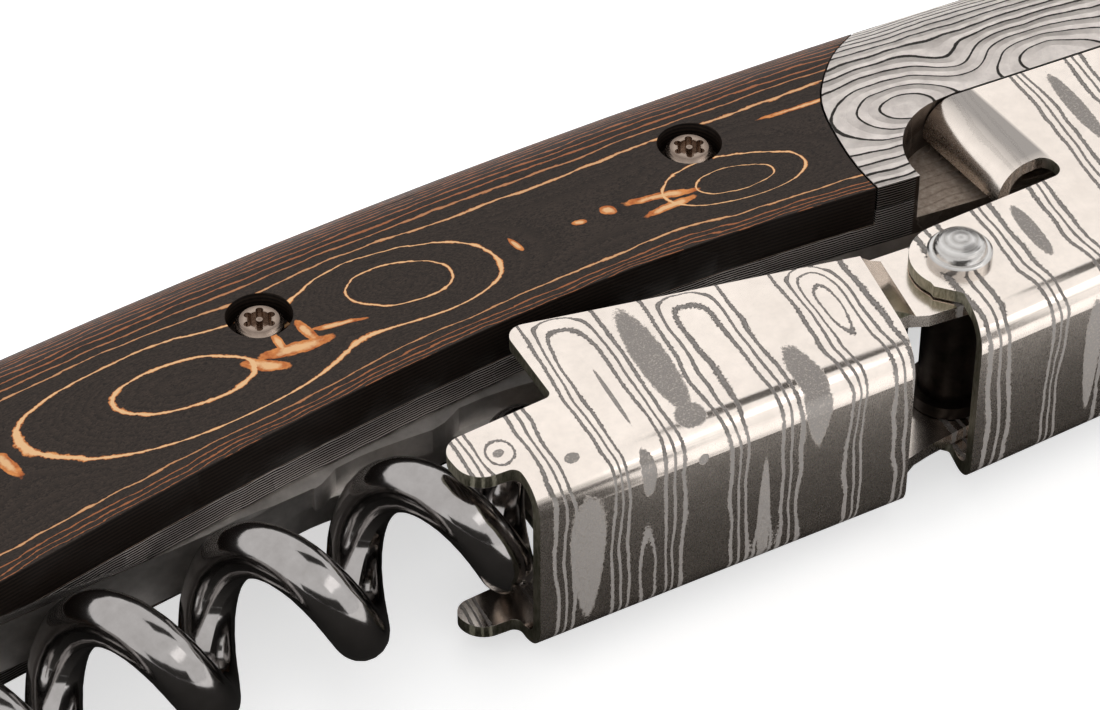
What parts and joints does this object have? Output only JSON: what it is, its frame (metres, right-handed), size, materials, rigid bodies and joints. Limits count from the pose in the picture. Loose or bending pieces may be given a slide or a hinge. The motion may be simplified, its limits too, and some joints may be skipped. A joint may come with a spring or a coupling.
{
  "type": "waiters corkscrew",
  "caption": "Folding waiters corkscrew with patterned steel bolsters, dark layered scales, two-step lever, open worm and folded foil blade.",
  "frame": {"origin": "on the far scale's flat face, which is what the folded tool lies on, near the middle of its length", "axes": "+X along the handle towards the lever hinge, +Z out of the near scale, so the worm lies on the -Y side"},
  "size_m": [0.1124, 0.028, 0.0137],
  "materials": {
    "patterned_steel": "etched satin",
    "layered_scale": "satin",
    "screw_steel": "satin",
    "pin_steel": "turned",
    "spring_steel": "satin",
    "lever_steel": "polished and etched",
    "worm_steel": "polished",
    "blade_steel": "satin",
    "washer_bronze": "polished"
  },
  "bodies": {
    "handle": {"near_frame_plate": "patterned_steel", "far_frame_plate": "patterned_steel", "near_scale": "layered_scale", "far_scale": "layered_scale", "near_scale_screws": "screw_steel", "far_scale_screws": "screw_steel", "frame_pins": "pin_steel", "back_spring": "spring_steel", "lever_pivot_pin": "pin_steel", "worm_hinge_pin": "pin_steel", "blade_pivot_pin": "pin_steel", "near_blade_washer": "washer_bronze", "far_blade_washer": "washer_bronze"},
    "inner_arm": {"lever_inner_arm": "lever_steel", "lever_mid_rivet": "pin_steel", "mid_rivet_bush": "pin_steel"},
    "outer_arm": {"lever_outer_arm": "lever_steel"},
    "worm": {"worm": "worm_steel", "worm_yoke": "worm_steel"},
    "blade": {"foil_blade": "blade_steel"}
  },
  "joints": [
    {"name": "lever_hinge", "type": "hinge", "parent": "handle", "child": "inner_arm", "pos_m": [0.0495, -0.0096, 0.0056], "axis": [0, 0, 1], "range_deg": [0, 160]},
    {"name": "lever_step_hinge", "type": "hinge", "parent": "inner_arm", "child": "outer_arm", "pos_m": [0.0244, -0.0141, 0.0056], "axis": [0, 0, 1], "range_deg": [0, 22]},
    {"name": "worm_hinge", "type": "hinge", "parent": "handle", "child": "worm", "pos_m": [0.0135, -0.01182, 0.0056], "axis": [0, 0, 1], "range_deg": [0, 92]},
    {"name": "blade_hinge", "type": "hinge", "parent": "handle", "child": "blade", "pos_m": [-0.0455, -0.0026, 0.0056], "axis": [0, 0, 1], "range_deg": [0, 180]}
  ],
  "couplings": [
    {"joint": "worm_hinge", "follows": "lever_hinge", "ratio": 0.56}
  ]
}
